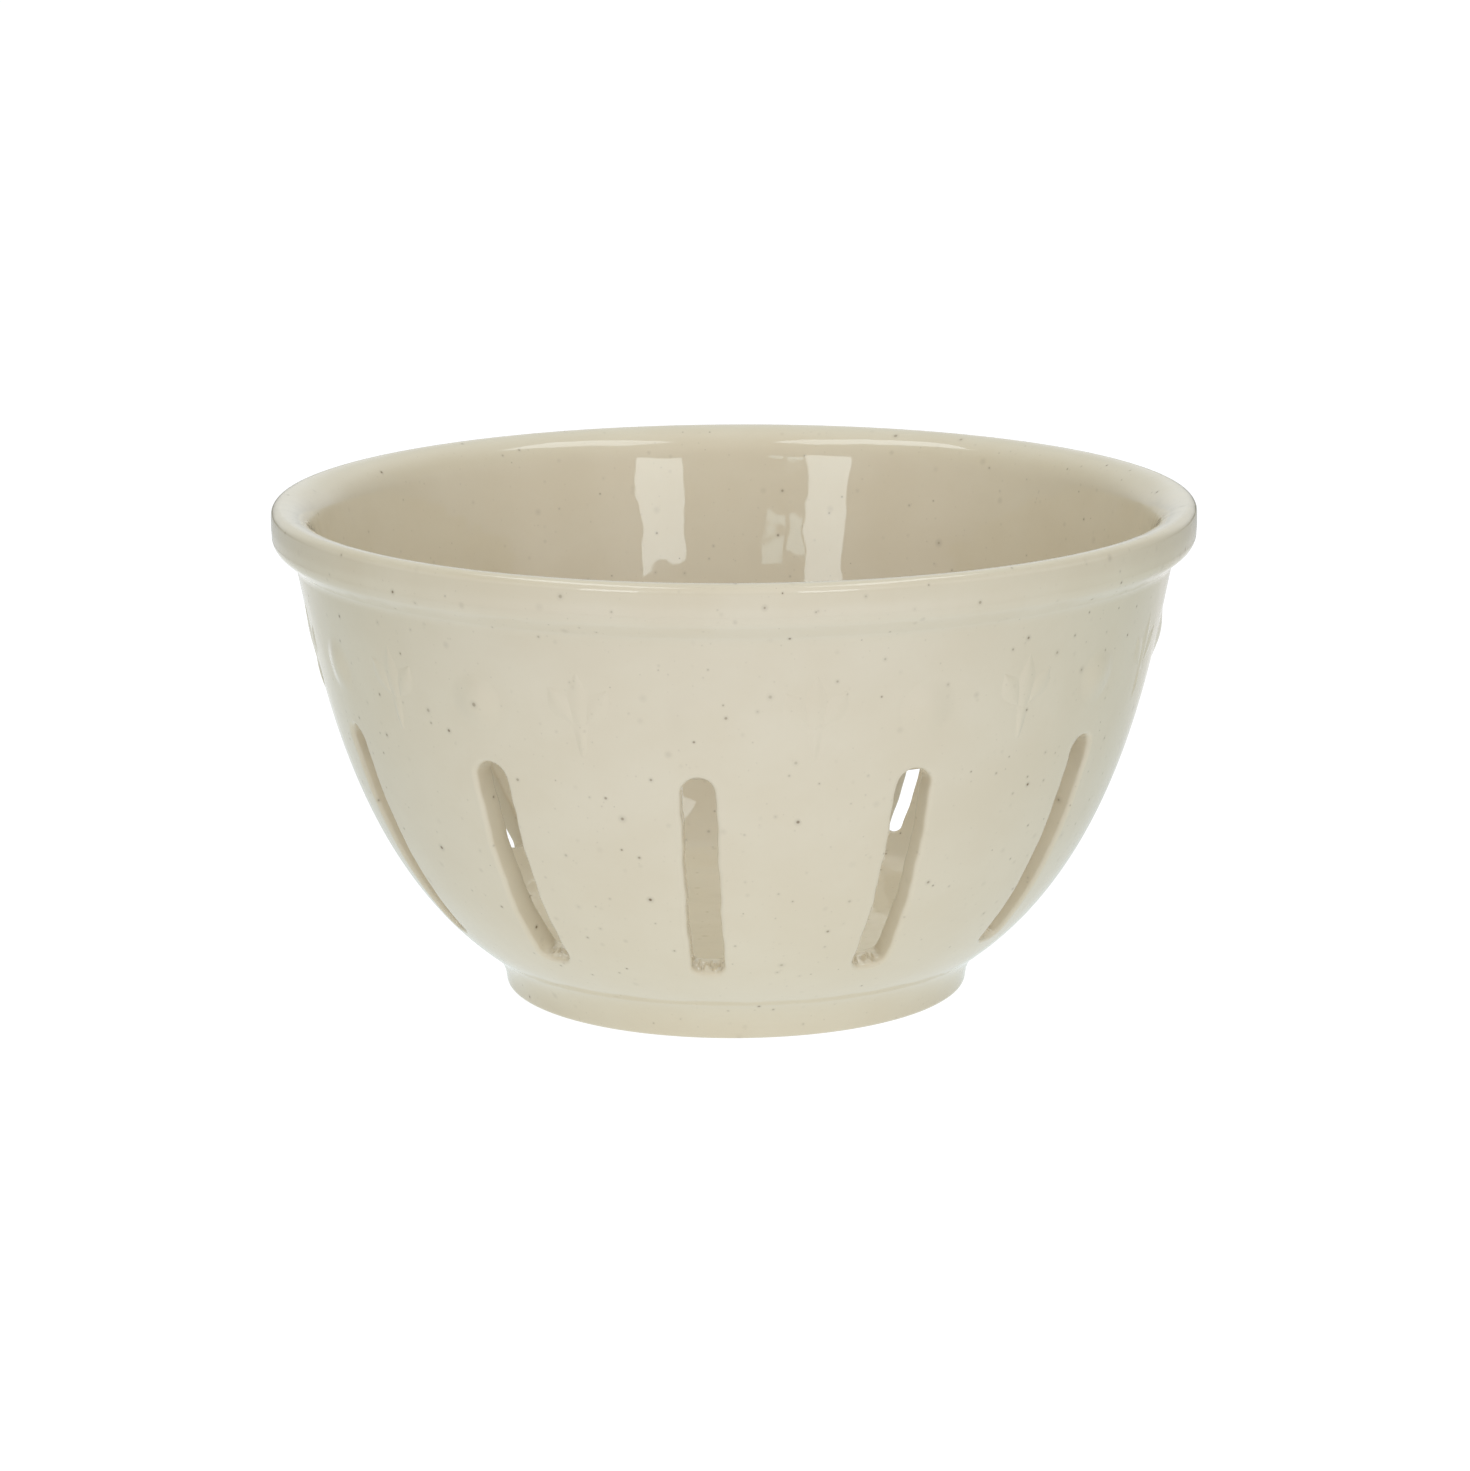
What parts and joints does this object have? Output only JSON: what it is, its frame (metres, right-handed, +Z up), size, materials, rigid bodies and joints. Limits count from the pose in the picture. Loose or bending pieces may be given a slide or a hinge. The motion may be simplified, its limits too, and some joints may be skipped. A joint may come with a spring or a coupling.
{
  "type": "berry colander bowl",
  "caption": "Deep round stoneware bowl on a foot ring, its wall pierced by upright drain slots, with a rolled rim and a band of low-relief sprigs and berries.",
  "frame": {"origin": "centre of the flat face that the foot ring rests on", "axes": "+Z up along the bowl's axis; one drain slot faces -Y and the others follow every 30 degrees"},
  "size_m": [0.16, 0.16, 0.0858],
  "materials": {
    "cream_glaze": "glossy cream glaze with fine brown iron speckles",
    "relief_glaze": "the same glossy cream glaze, run thin and soft over the low relief",
    "foot_glaze": "the same glaze down the sides, wiped off the resting face, which is bare buff clay"
  },
  "bodies": {
    "root": {"foot_ring": "foot_glaze", "bowl_floor": "cream_glaze", "bowl_wall": "cream_glaze", "rolled_rim": "cream_glaze", "leaf_sprig_01": "relief_glaze", "leaf_sprig_02": "relief_glaze", "leaf_sprig_03": "relief_glaze", "leaf_sprig_04": "relief_glaze", "leaf_sprig_05": "relief_glaze", "leaf_sprig_06": "relief_glaze", "leaf_sprig_07": "relief_glaze", "leaf_sprig_08": "relief_glaze", "leaf_sprig_09": "relief_glaze", "leaf_sprig_10": "relief_glaze", "leaf_sprig_11": "relief_glaze", "leaf_sprig_12": "relief_glaze", "berry_boss_01": "relief_glaze", "berry_boss_02": "relief_glaze", "berry_boss_03": "relief_glaze", "berry_boss_04": "relief_glaze", "berry_boss_05": "relief_glaze", "berry_boss_06": "relief_glaze", "berry_boss_07": "relief_glaze", "berry_boss_08": "relief_glaze", "berry_boss_09": "relief_glaze", "berry_boss_10": "relief_glaze", "berry_boss_11": "relief_glaze", "berry_boss_12": "relief_glaze"}
  },
  "joints": []
}
